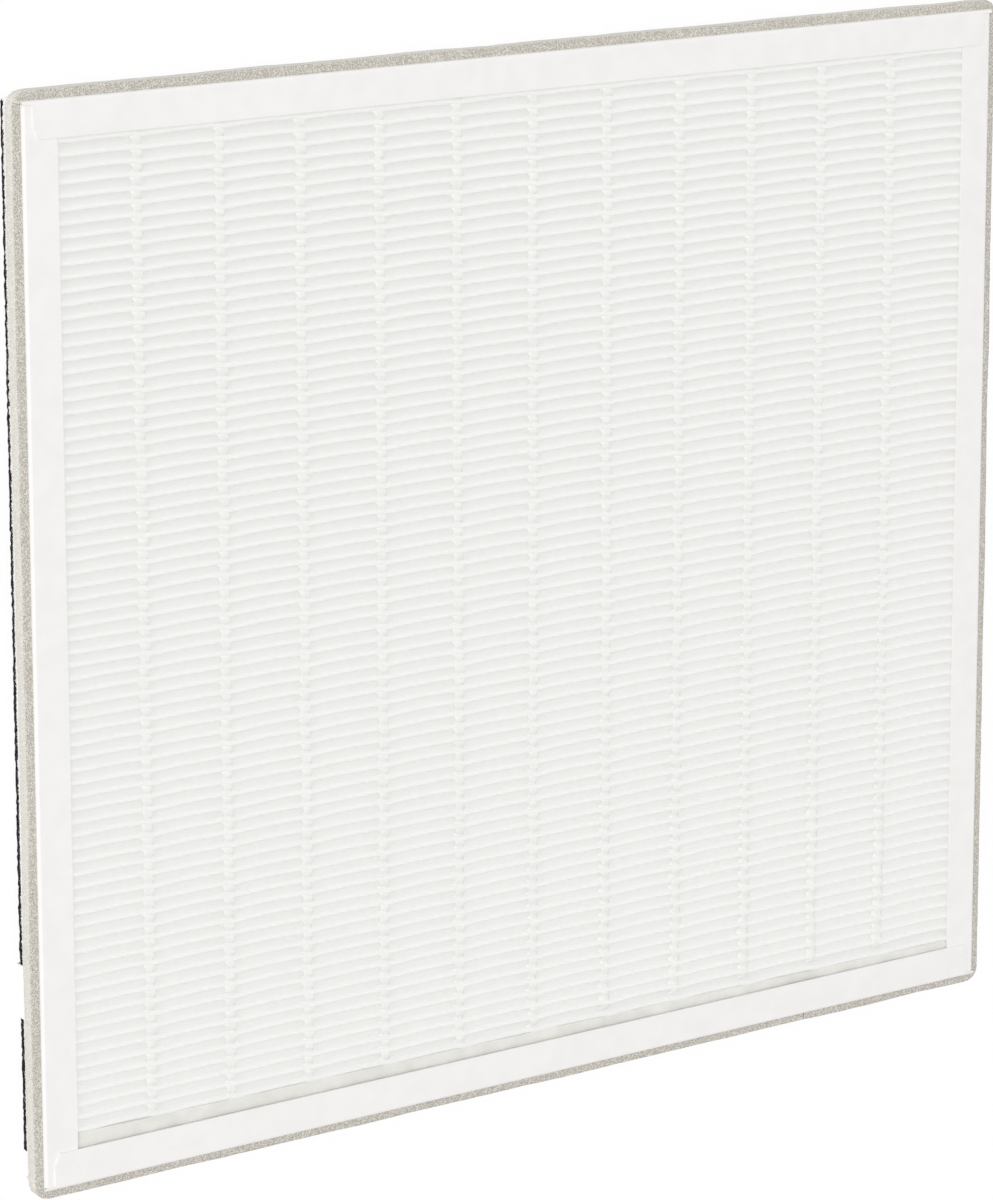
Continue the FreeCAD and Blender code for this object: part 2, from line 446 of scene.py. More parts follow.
def pleat_section():
    """One pleat from root to root, as pairs: the place along Y from its crest, and the height."""
    radius = mm(CREST_RADIUS_MM)
    half, top, foot = PLEAT_STEP / 2, pack_high.z, pack_low.z + mm(PAPER_MM)
    side = [(-half, foot), (-half + mm(ROOT_HALF_MM), foot + mm(ROOT_RISE_MM))]
    for degrees in CREST_DEGREES:
        turn = math.radians(degrees)
        side.append((-radius * math.cos(turn), top - radius + radius * math.sin(turn)))
    return side + [(0, top)] + [(-y, z) for y, z in side[::-1]]


print("pleats:", PLEATS, "pitch in mm:", round(PLEAT_STEP * 1000, 2))

# %% [markdown]
# The sheet bends where the glue holds it. The solids of the front glue say where its threads cross
# the pleats. The grid that becomes the sheet gets a column close to each side of every thread, where
# the paper is pinned, and a few between two threads, where it is free.

# %% Columns of the grid
BEAD_GAP_MM = 25.4
PINNED_MM = 2.4
STEPS_PER_GAP = 4


def front_beads():
    """The solids of the front glue by name, each with its place along X."""
    names = sorted(name for name in nodes if name.startswith("glue_bead_front"))
    return [(name, (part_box(name)[0].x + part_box(name)[1].x) / 2) for name in names]


def column_places(beads):
    pinned, free = mm(PINNED_MM), mm(BEAD_GAP_MM - PINNED_MM)
    first, last = beads[0][1] - pinned / 2, beads[-1][1] + pinned / 2
    places = []
    for _, x in beads[:-1]:
        start = x + pinned / 2
        places.append(x - pinned / 2)
        places += [start + free * step / STEPS_PER_GAP for step in range(STEPS_PER_GAP)]
    places += [beads[-1][1] - pinned / 2, last]
    for start, end in ((pack_low.x, first), (last, pack_high.x)):
        steps = round(abs(end - start) / free * STEPS_PER_GAP)
        places += [start + (end - start) * step / steps for step in range(steps + 1)]
    return sorted({round(x, 6) for x in places})


BEADS = front_beads()
COLUMNS = column_places(BEADS)
print("threads:", len(BEADS), "columns:", len(COLUMNS))

# %% [markdown]
# Real pleats aren't ruler straight. Each thread of glue pins the crests, a little askew, and between
# two threads a crest sags a trace and bows towards the top edge, so it makes a small step at each
# thread. The whole pack was set in a little askew too. All of this fades out towards the roots. A
# noise gives the same value for the same place each time, and its third coordinate picks a layer of
# it, so that no two kinds of unevenness are alike. Strides from pleat to pleat that aren't whole
# numbers keep off the places where this noise is always nought.

# %% How the pleats stray
BOW_MM = 0.2
ASKEW_MM = 0.4
PINS_DIFFER = 1.5
WANDER_MM = 0.22
WANDER_EVERY_MM = 16
RIPPLE_EVERY_MM = 60.0
SAG_MM = 0.2
FAN_MM = 2.2
FAN_SHARE = 0.6
BAY_STRIDE = 3.7
PLEAT_STRIDE = 1.3
NEARLY_ALONE = 0.85
TOGETHER = 0.12


def fan_out(x, pleat):
    """To the right, the pleats of the lower part of the pack crowd towards the foot."""
    along = (x - pack_low.x) / (pack_high.x - pack_low.x)
    return -mm(FAN_MM) * along * max(0.0, 1 - pleat / (FAN_SHARE * PLEATS))


def crest_shift(x, pleat, lift):
    """How far the paper strays here along Y and Z. The lift is 0 at a root and 1 at a crest."""
    bay = (x - BEADS[0][1]) / mm(BEAD_GAP_MM)
    phase = bay - math.floor(bay)
    free = math.sin(math.pi * phase)
    own = noise.noise(Vector((math.floor(bay) * BAY_STRIDE, pleat * PLEAT_STRIDE, 21)))
    here = Vector((x * per_mm(WANDER_EVERY_MM), pleat * NEARLY_ALONE, 0))
    broad = Vector((x * per_mm(RIPPLE_EVERY_MM), pleat * TOGETHER, 7))
    stray = mm(BOW_MM) * (1 + own) * free + mm(ASKEW_MM) * (1 + PINS_DIFFER * own) * (phase - 0.5)
    stray += mm(WANDER_MM) * (noise.noise(here) * free + noise.noise(broad))
    sag = mm(SAG_MM) * free * (0.5 + 0.5 * noise.noise(here + Vector((3, 5, 11))))
    return stray * lift, -sag * lift


print("crest 40 strays in mm:", [round(part * 1000, 2) for part in crest_shift(mm(10), 40, 1.0)])

# %% [markdown]
# Now the pack can be folded. A narrow grid is lifted into the section of one pleat, and an Array
# repeats it and welds the copies, as a folding machine would. Then each point strays by its own
# place. Solidify at the end gives the sheet its thickness, so the walls stay equally thick wherever
# they lean.

# %% Pleated pack
def fold_one_pleat(name):
    section = pleat_section()
    let_go()
    bpy.ops.mesh.primitive_grid_add(x_subdivisions=len(COLUMNS) - 1, y_subdivisions=len(section) - 1,
                                    size=1)
    piece = new_piece(name)
    for vertex in piece.data.vertices:
        x = COLUMNS[round((vertex.co.x + 0.5) * (len(COLUMNS) - 1))]
        y, z = section[round((vertex.co.y + 0.5) * (len(section) - 1))]
        vertex.co = Vector((x, pack_low.y + PLEAT_STEP / 2 + y, z))
    return piece


def make_pack():
    pack = fold_one_pleat("pleated_paper")
    repeat_along_y(pack, PLEATS, PLEAT_STEP)
    height = pack_high.z - pack_low.z
    for vertex in pack.data.vertices:
        pleat = math.floor((vertex.co.y - pack_low.y) / PLEAT_STEP)
        lift = max(0.0, (vertex.co.z - pack_low.z) / height)
        shift_y, shift_z = crest_shift(vertex.co.x, pleat, lift)
        vertex.co.y += shift_y + fan_out(vertex.co.x, pleat)
        vertex.co.z += shift_z
    apply_modifier(pack, "SOLIDIFY", thickness=mm(PAPER_MM), offset=-1)
    smooth(pack, 60)
    return pack


pack = make_pack()
dress(pack, PAPER_FINISH)
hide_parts("pleated_media")
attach(pack, "root")
print("faces in the pack:", len(pack.data.polygons))

# %% [markdown]
# Several pieces have one section all along their length: the glue, the gasket and the felt. They are
# made as a maker would lay them. A row of points is extruded into a next row, again and again, and
# each row is set to its place on the section. A first row that is a closed ring gives a tube.

# %% Rows of points
def ring_of_points(name, count, cut_open=False):
    """A closed row of points, or one that is open between its last point and its first."""
    let_go()
    bpy.ops.mesh.primitive_circle_add(vertices=count, radius=1)
    ring = new_piece(name)
    if cut_open:
        for edge in ring.data.edges:
            edge.select = set(edge.vertices) == {0, count - 1}
        for vertex in ring.data.vertices:
            vertex.select = vertex.index in (0, count - 1)
        bpy.ops.object.mode_set(mode="EDIT")
        bpy.ops.mesh.delete(type="EDGE")
        close_mesh()
    return ring


def extrude_rows(ring, count, rows, place_point):
    """Puts the first row in its place, then extrudes one row for each further one."""
    for index in range(count):
        ring.data.vertices[index].co = place_point(index, *rows[0])
    for number, row in enumerate(rows[1:], start=1):
        last_row = (number - 1) * count
        for vertex in ring.data.vertices:
            vertex.select = vertex.index >= last_row
        for edge in ring.data.edges:
            edge.select = min(edge.vertices) >= last_row
        for face in ring.data.polygons:
            face.select = False
        bpy.ops.object.mode_set(mode="EDIT")
        bpy.ops.mesh.extrude_edges_move()
        close_mesh()
        for index in range(count):
            ring.data.vertices[number * count + index].co = place_point(index, *row)


def close_ends(piece):
    """Fills every open ring of a piece, such as the two ends of a tube."""
    open_mesh(piece)
    bpy.ops.mesh.select_non_manifold()
    bpy.ops.mesh.fill_holes(sides=0)
    close_mesh()


# %% [markdown]
# Threads of hot-melt glue cross the pleats and keep the grooves open. The glue is a milky plastic,
# about as white as the paper and nearly as matt. Light wanders a little way inside it before it comes
# out again, which Subsurface gives. It gets a share of the paper's painted glow, painted light that
# lifts its shade in the grooves, and a faint cloud 3 mm wide, because it never melts quite evenly.

# %% Hot-melt glue
# Painted light: the glue's share of the paper's painted glow, lifting its shade in the grooves.
GLUE_PAINTED_GLOW_SHARE = 0.83
GLUE_DEPTH_MM = (1.2, 1.1, 1.0)


def hot_melt():
    # Painted light: the emission lifts the glue's shade in the grooves.
    finish, tree, shader = new_finish("milky_hot_melt_glue", {
        "Roughness": 0.75, "IOR": 1.45, "Specular IOR Level": 0.2, "Subsurface Weight": 0.3,
        "Subsurface Radius": [mm(depth) for depth in GLUE_DEPTH_MM],
        "Emission Color": paint("FAFAF8"), "Emission Strength": GLUE_PAINTED_GLOW_SHARE * PAINTED_GLOW})
    place = add(tree, "ShaderNodeTexCoord")
    cloud = add(tree, "ShaderNodeTexNoise", {"Scale": per_mm(3), "Detail": 2.0},
                {"Vector": place.outputs["Object"]})
    colour = two_tone(tree, cloud.outputs["Fac"], "CBCBC8", "D3D3D0", 0.3, 0.7)
    bump = add(tree, "ShaderNodeBump", {"Distance": mm(0.1), "Strength": 0.3},
               {"Height": cloud.outputs["Fac"]})
    wire(tree, shader, {"Base Color": colour, "Normal": bump.outputs["Normal"]})
    return finish


GLUE_FINISH = hot_melt()
REAR_BEADS = [name for name in nodes if name.startswith("glue_bead_rear")]
for piece_name in REAR_BEADS:
    dress(nodes[piece_name], GLUE_FINISH)
print("glue on", len(REAR_BEADS), "rear beads")

# %% [markdown]
# The glue was laid while it was hot, so it is a thin film over each crest and hangs wide and flat in
# the groove between two of them. One link of a thread is a ring of twelve points, extruded from the
# middle of a groove to the middle of the next, and an Array repeats it over all the pleats.

# %% One thread of glue
THREAD_SIDES = 12
THREAD_ROWS = 6
OVER_CREST_MM = 0.06
IN_GROOVE_MM = 0.6
HANG_MM = 1.4
CREST_WIDTH_MM = 2.8
GROOVE_WIDTH_MM = 3.7
SQUARENESS = 0.85


def make_thread():
    """A thread at X = 0, whose first link starts half a pleat below Y = 0."""
    def place_point(index, along):
        swing = 0.5 + 0.5 * math.cos(2 * math.pi * along)
        thick = mm(OVER_CREST_MM) * swing + mm(IN_GROOVE_MM) * (1 - swing)
        wide = (mm(CREST_WIDTH_MM) * swing + mm(GROOVE_WIDTH_MM) * (1 - swing)) / 2
        middle = pack_high.z - mm(HANG_MM) * (1 - swing)
        turn = 2 * math.pi * (index + 0.5) / THREAD_SIDES
        round_ones = (math.cos(turn), math.sin(turn))
        out, up = [math.copysign(abs(part) ** SQUARENESS, part) for part in round_ones]
        return Vector((wide * out, along * PLEAT_STEP, middle + thick * up))

    rows = [(row / THREAD_ROWS - 0.5,) for row in range(THREAD_ROWS + 1)]
    thread = ring_of_points("glue_link", THREAD_SIDES)
    extrude_rows(thread, THREAD_SIDES, rows, place_point)
    repeat_along_y(thread, PLEATS - 1, PLEAT_STEP)
    close_ends(thread)
    face_outwards(thread)
    return thread


thread = make_thread()
print("faces in one thread:", len(thread.data.polygons))

# %% [markdown]
# Every thread is a copy with its own mesh, laid where its solid is. A nozzle never runs quite evenly,
# so along its way a thread swells and shrinks by a quarter and strays half a millimetre to the sides.

# %% Threads in their places
SWELL = 0.25
SWELL_EVERY_MM = 5
STRAY_MM = 0.5
STRAY_EVERY_MM = 9


def lay_thread(thread, name, x):
    bead = thread.copy()
    bead.data = thread.data.copy()
    bead.name = bead.data.name = name.replace("glue_bead", "glue_thread")
    bpy.context.scene.collection.objects.link(bead)
    for vertex in bead.data.vertices:
        own_x = x * per_mm(1)
        swell = 1 + SWELL * noise.noise(Vector((own_x, vertex.co.y * per_mm(SWELL_EVERY_MM), 5)))
        stray = mm(STRAY_MM) * noise.noise(Vector((own_x, vertex.co.y * per_mm(STRAY_EVERY_MM), 0)))
        vertex.co.x = x + vertex.co.x * swell + stray
        vertex.co.y += pack_low.y + PLEAT_STEP
    smooth(bead, 70)
    dress(bead, GLUE_FINISH)
    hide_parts(name)
    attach(bead, "root")


for bead_name, bead_x in BEADS:
    lay_thread(thread, bead_name, bead_x)
bpy.data.objects.remove(thread)
print("threads of glue:", len(BEADS), "over", PLEATS, "pleats")

# %% [markdown]
# Potting is the thick glue that seals the pack into its channels. It has set to a dull beige plastic
# with a little gloss and a soft, uneven skin, about 5 mm from one swelling to the next. The strips at
# the sides and the top are hidden behind the flanges, so their solids only get the finish.

# %% Potting
def potting():
    finish, tree, shader = new_finish("beige_potting_compound", {"Roughness": 0.55, "IOR": 1.48})
    place = add(tree, "ShaderNodeTexCoord")
    cloud = add(tree, "ShaderNodeTexNoise", {"Scale": per_mm(5), "Detail": 3.0},
                {"Vector": place.outputs["Object"]})
    colour = two_tone(tree, cloud.outputs["Fac"], "DBDAD4", "E5E4DF", 0.3, 0.7)
    bump = add(tree, "ShaderNodeBump", {"Distance": mm(0.2), "Strength": 0.5},
               {"Height": cloud.outputs["Fac"]})
    wire(tree, shader, {"Base Color": colour, "Normal": bump.outputs["Normal"]})
    return finish


POTTING_FINISH = potting()
HIDDEN_POTTING = ("seal_left", "seal_right", "seal_top")
for piece_name in HIDDEN_POTTING:
    dress(nodes[piece_name], POTTING_FINISH)
print("potting on", len(HIDDEN_POTTING), "hidden strips")

# %% [markdown]
# The strip along the foot is in sight, between the last pleat and the flange. It was poured up to the
# flange, holds the foot of the last pleat and sank unevenly as it cooled. So it is a box, cut across
# into short lengths and once lengthways, whose upper face is lifted, moved by a noise and drawn in
# under the last crest, on purpose a little into the paper that it holds.

# %% Potting at the foot
POTTING_STEP_MM = 2.5
POTTING_LIFT_MM = 1.3
POTTING_SINK_MM = 0.5
SINK_EVERY_MM = 7
SINK_ACROSS_MM = 2
EDGE_DROP_MM = 0.3
EDGE_WIDTH_MM = 1.6
EDGE_REACH_MM = 1.2


def cut_across(piece, place, facing):
    """Cuts the whole piece at a plane and keeps both sides."""
    open_mesh(piece)
    bpy.ops.mesh.select_all(action="SELECT")
    bpy.ops.mesh.bisect(plane_co=place, plane_no=facing)
    close_mesh()


def make_foot_potting():
    low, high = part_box("seal_bottom")
    strip = new_box("foot_potting", low, high)
    cuts = math.floor((high.x - low.x) / mm(POTTING_STEP_MM))
    for index in range(1, cuts):
        cut_across(strip, (low.x + (high.x - low.x) * index / cuts, 0, 0), (1, 0, 0))
    cut_across(strip, (0, high.y - mm(EDGE_WIDTH_MM), 0), (0, 1, 0))
    for vertex in strip.data.vertices:
        if vertex.co.z > (low.z + high.z) / 2:
            here = Vector((vertex.co.x * per_mm(SINK_EVERY_MM), vertex.co.y * per_mm(SINK_ACROSS_MM), 0))
            vertex.co.z += mm(POTTING_LIFT_MM) - mm(POTTING_SINK_MM) * (0.5 + noise.noise(here))
            if vertex.co.y > high.y - mm(EDGE_WIDTH_MM) / 2:
                vertex.co.z -= mm(EDGE_DROP_MM)
                vertex.co.y += mm(EDGE_REACH_MM) + fan_out(vertex.co.x, 0)
    smooth(strip, 50)
    return strip


foot_potting = make_foot_potting()
dress(foot_potting, POTTING_FINISH)
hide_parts("seal_bottom")
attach(foot_potting, "root")
print("faces in the foot potting:", len(foot_potting.data.polygons))

# %% [markdown]
# The gasket and the felt both follow the panel's outline, a rectangle with round corners. One
# function walks a share of the way round it and says where that is and which way is out. It takes
# each side and the corner after it in turn, and takes their lengths off what is left to walk.

# %% A path round the panel
def round_outline(half_x, half_y, corner, share):
    """A point and its outward direction on a rounded rectangle, counted from the middle of the foot."""
    run_x, run_y, bend = 2 * (half_x - corner), 2 * (half_y - corner), math.pi / 2 * corner
    walk = share * (2 * run_x + 2 * run_y + 4 * bend)
    turn, place = 0.0, Vector((0, -half_y, 0))
    for length in (run_x / 2, run_y, run_x, run_y, run_x / 2):
        heading = Vector((math.cos(turn), math.sin(turn), 0))
        outward = Vector((math.sin(turn), -math.cos(turn), 0))
        if walk <= length:
            return place + heading * walk, outward
        walk -= length
        place = place + heading * length
        centre = place - outward * corner
        if walk <= bend:
            angle = turn + walk / corner
            outward = Vector((math.sin(angle), -math.cos(angle), 0))
            return centre + outward * corner, outward
        walk -= bend
        turn += math.pi / 2
        place = centre + Vector((math.sin(turn), -math.cos(turn), 0)) * corner
    return Vector((0, -half_y, 0)), Vector((0, -1, 0))


def uneven(point, size_mm, layer):
    """A noise over X and Y whose bumps measure this many millimetres, on one of its layers."""
    return noise.noise(Vector((point.x * per_mm(size_mm), point.y * per_mm(size_mm), layer)))


half_way, way_out = round_outline(2, 1, 0.1, 0.5)
print("half way round a sheet of 4 by 2:", [round(part, 2) for part in half_way])
print("outwards there:", [round(part, 2) for part in way_out])

# %% [markdown]
# The gasket is a strip of open-cell foam, glued round the frame. Its section starts at the frame's
# wall, runs outwards along the front, over a soft edge, down the outer side and back along the rear,
# to where it began. The rear edge is less rounded, because the glue holds it down.

# %% Section of the gasket
GASKET_SOFT_MM = 0.6
SOFT_EDGE = ((1, 0), (0.35, 0.15), (0.08, 0.5), (0, 1))
REAR_SHARE = 0.5
HALFWAY_IN = 0.7

gasket_low, gasket_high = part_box("foam_gasket")
FRAME_HALF_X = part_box("top_rail")[1].x
FRAME_HALF_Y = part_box("top_rail")[1].y
GASKET_THICK = gasket_high.x - FRAME_HALF_X


def gasket_rows():
    """The strip's section as pairs: how far in from the outer skin, and the height."""
    top, foot = gasket_high.z, gasket_low.z
    soft = mm(GASKET_SOFT_MM)
    rounded = [(soft * inwards, soft * down) for inwards, down in SOFT_EDGE]
    front = [(GASKET_THICK, top), (GASKET_THICK * HALFWAY_IN, top)]
    front += [(inset, top - down) for inset, down in rounded]
    rear = [(inset, foot + up * REAR_SHARE) for inset, up in rounded[::-1]]
    rear += [(GASKET_THICK * HALFWAY_IN, foot), (GASKET_THICK, foot)]
    return front + [(0, (top + foot) / 2)] + rear + front[:1]


foam_size = (GASKET_THICK, gasket_high.z - gasket_low.z)
print("foam section in mm:", [round(side * 1000, 2) for side in foam_size])

# %% [markdown]
# A row of points round the frame is extruded through that section, and the last row is merged with
# the first. The inner side lies flat on the frame. The rest strays as foam does: it was stretched on
# by hand, so its width comes and goes over 26 mm, and its cells leave a fine grain. The row of points
# is open at one place at the foot, where the two ends of the strip are butted.

# %% Foam gasket
GASKET_POINT_MM = 2.0
GASKET_CORNER_MM = 4.4
GASKET_JOINT_MM = 0.35
JOINT_FROM_RIGHT_MM = 65.0
WAVE_MM = 0.6
WAVE_EVERY_MM = 26
PRESSED_IN = 0.6
GRAIN_MM = 0.12
GRAIN_EVERY_MM = 5
GRAIN_DOWN_MM = 3
HEAVE_MM = 0.1
HEAVE_EVERY_MM = 18
SETTLED_MM = 0.06


def stray_foam(point, z):
    """How far the foam strays outwards and upwards at a place on its path."""
    grain = mm(GRAIN_MM) * uneven(point, GRAIN_EVERY_MM, z * per_mm(GRAIN_DOWN_MM))
    wave = mm(WAVE_MM) * (uneven(point, WAVE_EVERY_MM, 3) - PRESSED_IN) / 2
    return wave + grain, mm(HEAVE_MM) * uneven(point, HEAVE_EVERY_MM, 9) - mm(SETTLED_MM)


def make_gasket():
    half_x, half_y = gasket_high.x, gasket_high.y
    corner = mm(GASKET_CORNER_MM)
    length = 4 * (half_x + half_y) - (8 - 2 * math.pi) * corner
    count = round(length / mm(GASKET_POINT_MM))
    joint = (FRAME_HALF_X - mm(JOINT_FROM_RIGHT_MM)) / length
    gap = mm(GASKET_JOINT_MM) / length

    def place_point(index, inset, z):
        share = (joint + gap / 2 + (1 - gap) * index / (count - 1)) % 1.0
        point, outward = round_outline(half_x, half_y, corner, share)
        if inset == GASKET_THICK:
            on_wall_x = max(-FRAME_HALF_X, min(FRAME_HALF_X, point.x))
            on_wall_y = max(-FRAME_HALF_Y, min(FRAME_HALF_Y, point.y))
            return Vector((on_wall_x, on_wall_y, z))
        stray, lift = stray_foam(point, z)
        return point - outward * (inset - stray) + Vector((0, 0, z + lift))

    gasket = ring_of_points("foam_strip", count, cut_open=True)
    extrude_rows(gasket, count, gasket_rows(), place_point)
    face_outwards(gasket)
    close_ends(gasket)
    face_outwards(gasket)
    smooth(gasket, 60)
    return gasket


gasket = make_gasket()
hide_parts("foam_gasket")
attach(gasket, "root")
print("faces in the gasket:", len(gasket.data.polygons))

# %% [markdown]
# The foam's front was cut by a blade, so its cells lie open and it looks rough and darker. Its outer
# side kept a smooth, lighter skin. Both are one material that reads the height on the strip: the skin
# ends 0.4 mm behind the front and the cut cells are bare from 0.15 mm. The real cells are about as
# fine as one point of the picture, so they are drawn 0.4 mm wide, in patches of 0.8 mm.

# %% Open-cell foam
SKIN_END_MM = 0.4
CUT_START_MM = 0.15


def cut_foam():
    finish, tree, shader = new_finish("open_cell_foam", {
        "Roughness": 0.95, "IOR": 1.4, "Specular IOR Level": 0.15})
    place = add(tree, "ShaderNodeTexCoord")
    cells = add(tree, "ShaderNodeTexVoronoi", {"Scale": per_mm(0.4)},
                {"Vector": place.outputs["Object"]})
    patches = add(tree, "ShaderNodeTexNoise", {"Scale": per_mm(0.8), "Detail": 5.0, "Roughness": 0.75},
                  {"Vector": place.outputs["Object"]})
    both = add(tree, "ShaderNodeMath", {"operation": "MULTIPLY"},
               {0: cells.outputs["Distance"], 1: patches.outputs["Fac"]})
    cut = two_tone(tree, both.outputs[0], "9E988E", "E6E2D9", 0.05, 0.4)
    skin = two_tone(tree, both.outputs[0], "BEBAB2", "DFDCD5", 0.05, 0.35)
    parts = add(tree, "ShaderNodeSeparateXYZ", None, {"Vector": place.outputs["Object"]})
    is_cut = add(tree, "ShaderNodeMapRange", {"From Min": gasket_high.z - mm(SKIN_END_MM),
                                              "From Max": gasket_high.z - mm(CUT_START_MM)},
                 {"Value": parts.outputs["Z"]})
    mix = add(tree, "ShaderNodeMix", {"data_type": "RGBA"},
              {"Factor": is_cut.outputs["Result"], COLOUR_A: skin, COLOUR_B: cut})
    rough = add(tree, "ShaderNodeMath", {"operation": "MULTIPLY"},
                {0: is_cut.outputs["Result"], 1: both.outputs[0]})
    bump = add(tree, "ShaderNodeBump", {"Distance": mm(0.5), "Strength": 0.9},
               {"Height": rough.outputs[0]})
    wire(tree, shader, {"Base Color": mix.outputs[COLOUR_OUT], "Normal": bump.outputs["Normal"]})
    return finish


FOAM_FINISH = cut_foam()
dress(gasket, FOAM_FINISH)
print("nodes in the foam's finish:", len(FOAM_FINISH.node_tree.nodes))

# %% [markdown]
# The back is a needled felt that holds black carbon. It is made with rows of points too: five rows
# climb its edge, each point strays inwards a little as cut fibres do, and the two open sides are
# filled. Where the ribbon lies under it the felt is pressed in, which a Boolean takes out.

# %% Carbon felt
FELT_POINT_MM = 0.8
FELT_CORNER_MM = 1.5
FELT_FUZZ_MM = 0.7
FUZZ_EVERY_MM = 1.1
FUZZ_UP_MM = 0.8
FELT_EDGE = ((0.3, 0.0), (0.05, 0.18), (0.0, 0.5), (0.05, 0.82), (0.3, 1.0))
STAMP_REACH_MM = 2
STAMP_PLAY_MM = 0.1
STAMP_HEIGHT_MM = 0.45

felt_low, felt_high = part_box("carbon_felt")


def make_felt():
    """The sheet, whose edge rows are pairs: mm in from its outline, and a share of its thickness."""
    half_x, half_y = (felt_high.x - felt_low.x) / 2, (felt_high.y - felt_low.y) / 2
    centre = Vector((0, (felt_low.y + felt_high.y) / 2, 0))
    count = round(4 * (half_x + half_y) / mm(FELT_POINT_MM))
    rows = [(mm(inset), felt_high.z * share) for inset, share in FELT_EDGE]

    def place_point(index, inset, z):
        point, outward = round_outline(half_x, half_y, mm(FELT_CORNER_MM), index / count)
        point = centre + point
        fuzz = 0.5 - 0.5 * uneven(point, FUZZ_EVERY_MM, z * per_mm(FUZZ_UP_MM))
        return point - outward * (inset + mm(FELT_FUZZ_MM) * fuzz) + Vector((0, 0, z))

    felt = ring_of_points("carbon_sheet", count)
    extrude_rows(felt, count, rows, place_point)
    close_ends(felt)
    face_outwards(felt)
    return felt


def press_ribbon_in(felt):
    low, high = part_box("pull_tab")
    reach, play = mm(STAMP_REACH_MM), mm(STAMP_PLAY_MM)
    stamp = new_box("ribbon_stamp", Vector((low.x - reach, low.y - play, -reach)),
                    Vector((high.x + play, high.y + play, mm(STAMP_HEIGHT_MM))))
    apply_modifier(felt, "BOOLEAN", operation="DIFFERENCE", object=stamp)
    bpy.data.objects.remove(stamp)


felt = make_felt()
press_ribbon_in(felt)
smooth(felt, 60)
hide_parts("carbon_felt")
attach(felt, "root")
print("faces in the felt:", len(felt.data.polygons))

# %% [markdown]
# The felt is dull and swallows light. Along the top of its cut edge a white band is painted light: it
# stands in for the bright line between the felt and the foam, and it is wider towards the panel's top
# edge. So the white starts at a height on the edge that slopes with Y and is made ragged by the
# fibres. Real fibres are a fiftieth of a millimetre, far too fine to show, so they are drawn 0.8 mm
# wide.

# %% Needled felt
# Painted light: a white band along the top of the felt's edge, wider towards the panel's top edge.
PAINTED_EDGE_LIGHT_MM = 0.6
PAINTED_EDGE_LIGHT_SLOPE = 0.0016
PAINTED_EDGE_LIGHT_BLEND_MM = 0.1
RAGGED_MM = 2.0


def needled_felt():
    finish, tree, shader = new_finish("needled_carbon_felt", {
        "Roughness": 1.0, "IOR": 1.4, "Specular IOR Level": 0.2})
    place = add(tree, "ShaderNodeTexCoord")
    fibre = add(tree, "ShaderNodeTexNoise", {
        "Scale": per_mm(0.8), "Detail": 6.0, "Roughness": 0.75, "Distortion": 1.5},
        {"Vector": place.outputs["Object"]})
    black = two_tone(tree, fibre.outputs["Fac"], "0C0C0C", "7C7C7B", 0.5, 0.76)
    parts = add(tree, "ShaderNodeSeparateXYZ", None, {"Vector": place.outputs["Object"]})
    ragged = add(tree, "ShaderNodeMapRange", {"To Min": -mm(RAGGED_MM), "To Max": mm(RAGGED_MM)},
                 {"Value": fibre.outputs["Fac"]})
    edge = add(tree, "ShaderNodeMath", {"operation": "ADD"},
               {0: parts.outputs["Z"], 1: ragged.outputs["Result"]})
    height = add(tree, "ShaderNodeMath", {"operation": "MULTIPLY_ADD", 1: PAINTED_EDGE_LIGHT_SLOPE},
                 {0: parts.outputs["Y"], 2: edge.outputs[0]})
    # Painted light: the white along the top of the edge stands in for a bright line of light.
    foot_of_painted_light = felt_high.z - mm(PAINTED_EDGE_LIGHT_MM)
    painted_light_band = add(tree, "ShaderNodeMapRange", {"From Min": foot_of_painted_light - mm(PAINTED_EDGE_LIGHT_BLEND_MM),
                                            "From Max": foot_of_painted_light + mm(PAINTED_EDGE_LIGHT_BLEND_MM)},
               {"Value": height.outputs[0]})
    mix = add(tree, "ShaderNodeMix", {"data_type": "RGBA", COLOUR_B: paint("F2F2F0")},
              {"Factor": painted_light_band.outputs["Result"], COLOUR_A: black})
    bump = add(tree, "ShaderNodeBump", {"Distance": mm(0.5), "Strength": 0.8},
               {"Height": fibre.outputs["Fac"]})
    wire(tree, shader, {"Base Color": mix.outputs[COLOUR_OUT], "Normal": bump.outputs["Normal"]})
    return finish


FELT_FINISH = needled_felt()
dress(felt, FELT_FINISH)
print("nodes in the felt's finish:", len(FELT_FINISH.node_tree.nodes))

# %% [markdown]
# A short white ribbon is glued up the left wall and turned under the felt. It is a woven tape, so it
# is a flat grid that is laid along its route and thickened by Solidify. Its two long edges stray a
# trace, each in its own way, because the noise is read at another place for the other edge.

# %% Ribbon tab
RIBBON_MM = 0.4
RIBBON_FOLD_MM = 0.8
RIBBON_COLUMNS = 10
RIBBON_ROWS = 48
RIBBON_STRAY_MM = 0.12
RIBBON_STRAY_EVERY_MM = 3
OTHER_EDGE = 3


def ribbon_route(walk, outer_x, top):
    """The outer face of the tape: down the wall, round the fold and in under the felt."""
    fold = mm(RIBBON_FOLD_MM)
    drop = top - fold
    if walk < drop:
        return outer_x, top - walk
    bend = math.pi / 2 * fold
    if walk < drop + bend:
        angle = (walk - drop) / fold
        return outer_x + fold - fold * math.cos(angle), fold - fold * math.sin(angle)
    return outer_x + fold + walk - drop - bend, 0.0


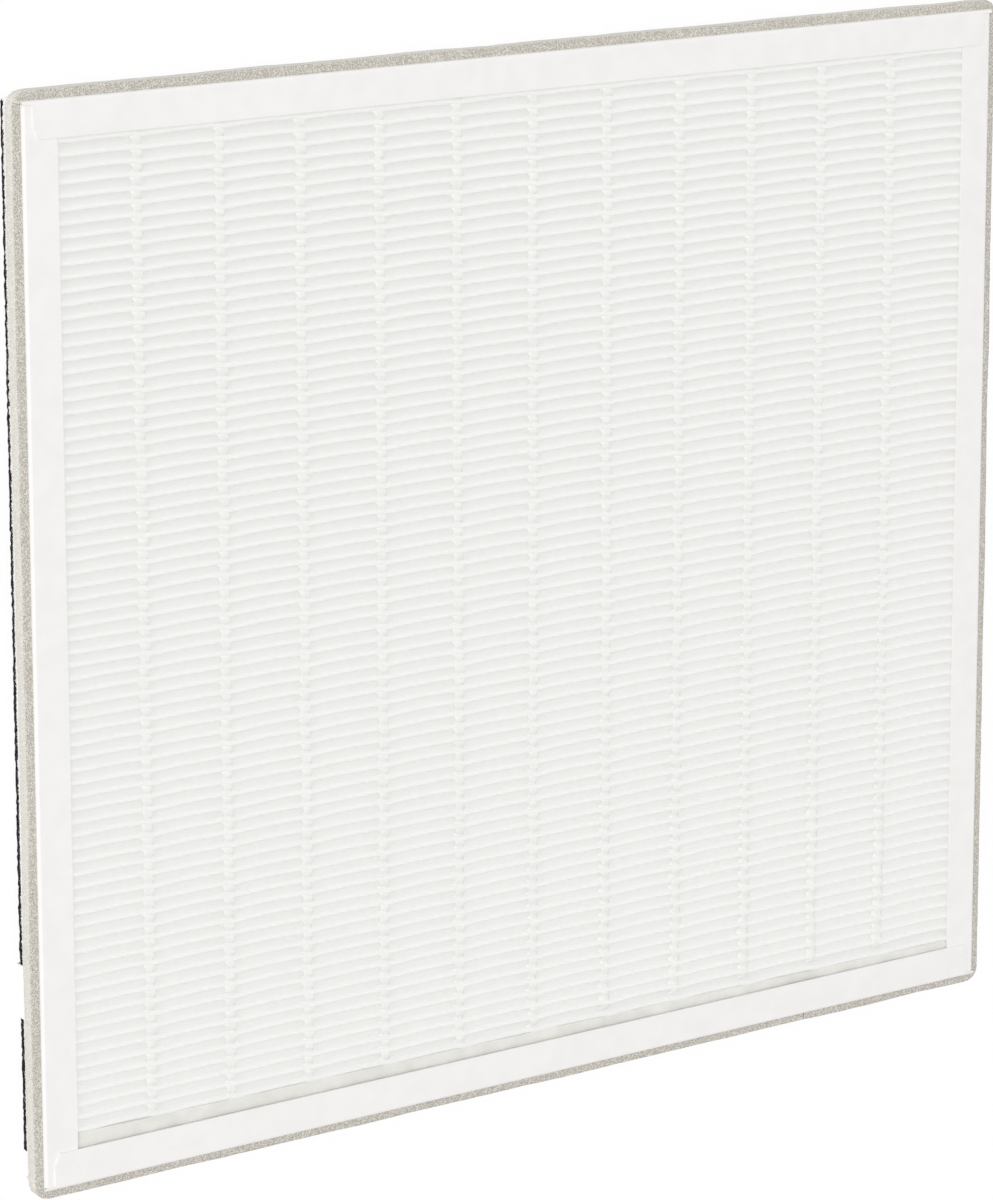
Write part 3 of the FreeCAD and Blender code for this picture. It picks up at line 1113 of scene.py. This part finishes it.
def make_ribbon():
    """The tape, and its flat size."""
    low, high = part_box("pull_tab")
    fold = mm(RIBBON_FOLD_MM)
    length = high.z - fold + math.pi / 2 * fold + high.x - low.x - fold
    let_go()
    bpy.ops.mesh.primitive_grid_add(x_subdivisions=RIBBON_COLUMNS, y_subdivisions=RIBBON_ROWS, size=1)
    ribbon = new_piece("ribbon")
    for vertex in ribbon.data.vertices:
        across, walk = vertex.co.x + 0.5, (vertex.co.y + 0.5) * length
        x, z = ribbon_route(walk, low.x, high.z)
        here = Vector((across * OTHER_EDGE, walk * per_mm(RIBBON_STRAY_EVERY_MM), 0))
        stray = mm(RIBBON_STRAY_MM) * noise.noise(here)
        vertex.co = Vector((x, low.y + across * (high.y - low.y) + stray * abs(2 * across - 1), z))
    apply_modifier(ribbon, "SOLIDIFY", thickness=mm(RIBBON_MM), offset=-1)
    face_outwards(ribbon)
    smooth(ribbon, 50)
    return ribbon, (high.y - low.y, length)


ribbon, ribbon_size = make_ribbon()
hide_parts("pull_tab")
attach(ribbon, "root")
print("ribbon laid flat, in mm:", [round(side * 1000, 1) for side in ribbon_size])

# %% [markdown]
# The tape is plain woven polyester. Its weave is a fine check on the tape's own UV map, which came
# with the grid and follows the bend. The threads are drawn 0.5 mm apart, which is coarse for such a
# tape but the finest that shows, and a little sheen stands for the loose fibres on them.

# %% Woven tape
WEAVE_MM = 0.5


def woven_tape(size):
    finish, tree, shader = new_finish("woven_polyester_tape", {
        "Roughness": 0.8, "IOR": 1.5, "Sheen Weight": 0.2})
    place = add(tree, "ShaderNodeTexCoord")
    repeats = (size[0] / mm(WEAVE_MM), size[1] / mm(WEAVE_MM), 1.0)
    laid = add(tree, "ShaderNodeMapping", {"Scale": repeats}, {"Vector": place.outputs["UV"]})
    check = add(tree, "ShaderNodeTexChecker", {
        "Scale": 1.0, "Color1": paint("F1F1EF"), "Color2": paint("FBFBFA")},
        {"Vector": laid.outputs["Vector"]})
    bump = add(tree, "ShaderNodeBump", {"Distance": mm(0.08), "Strength": 0.6},
               {"Height": check.outputs["Fac"]})
    wire(tree, shader, {"Base Color": check.outputs["Color"], "Normal": bump.outputs["Normal"]})
    return finish


dress(ribbon, woven_tape(ribbon_size))
print("threads across the tape:", round(ribbon_size[0] / mm(WEAVE_MM)))
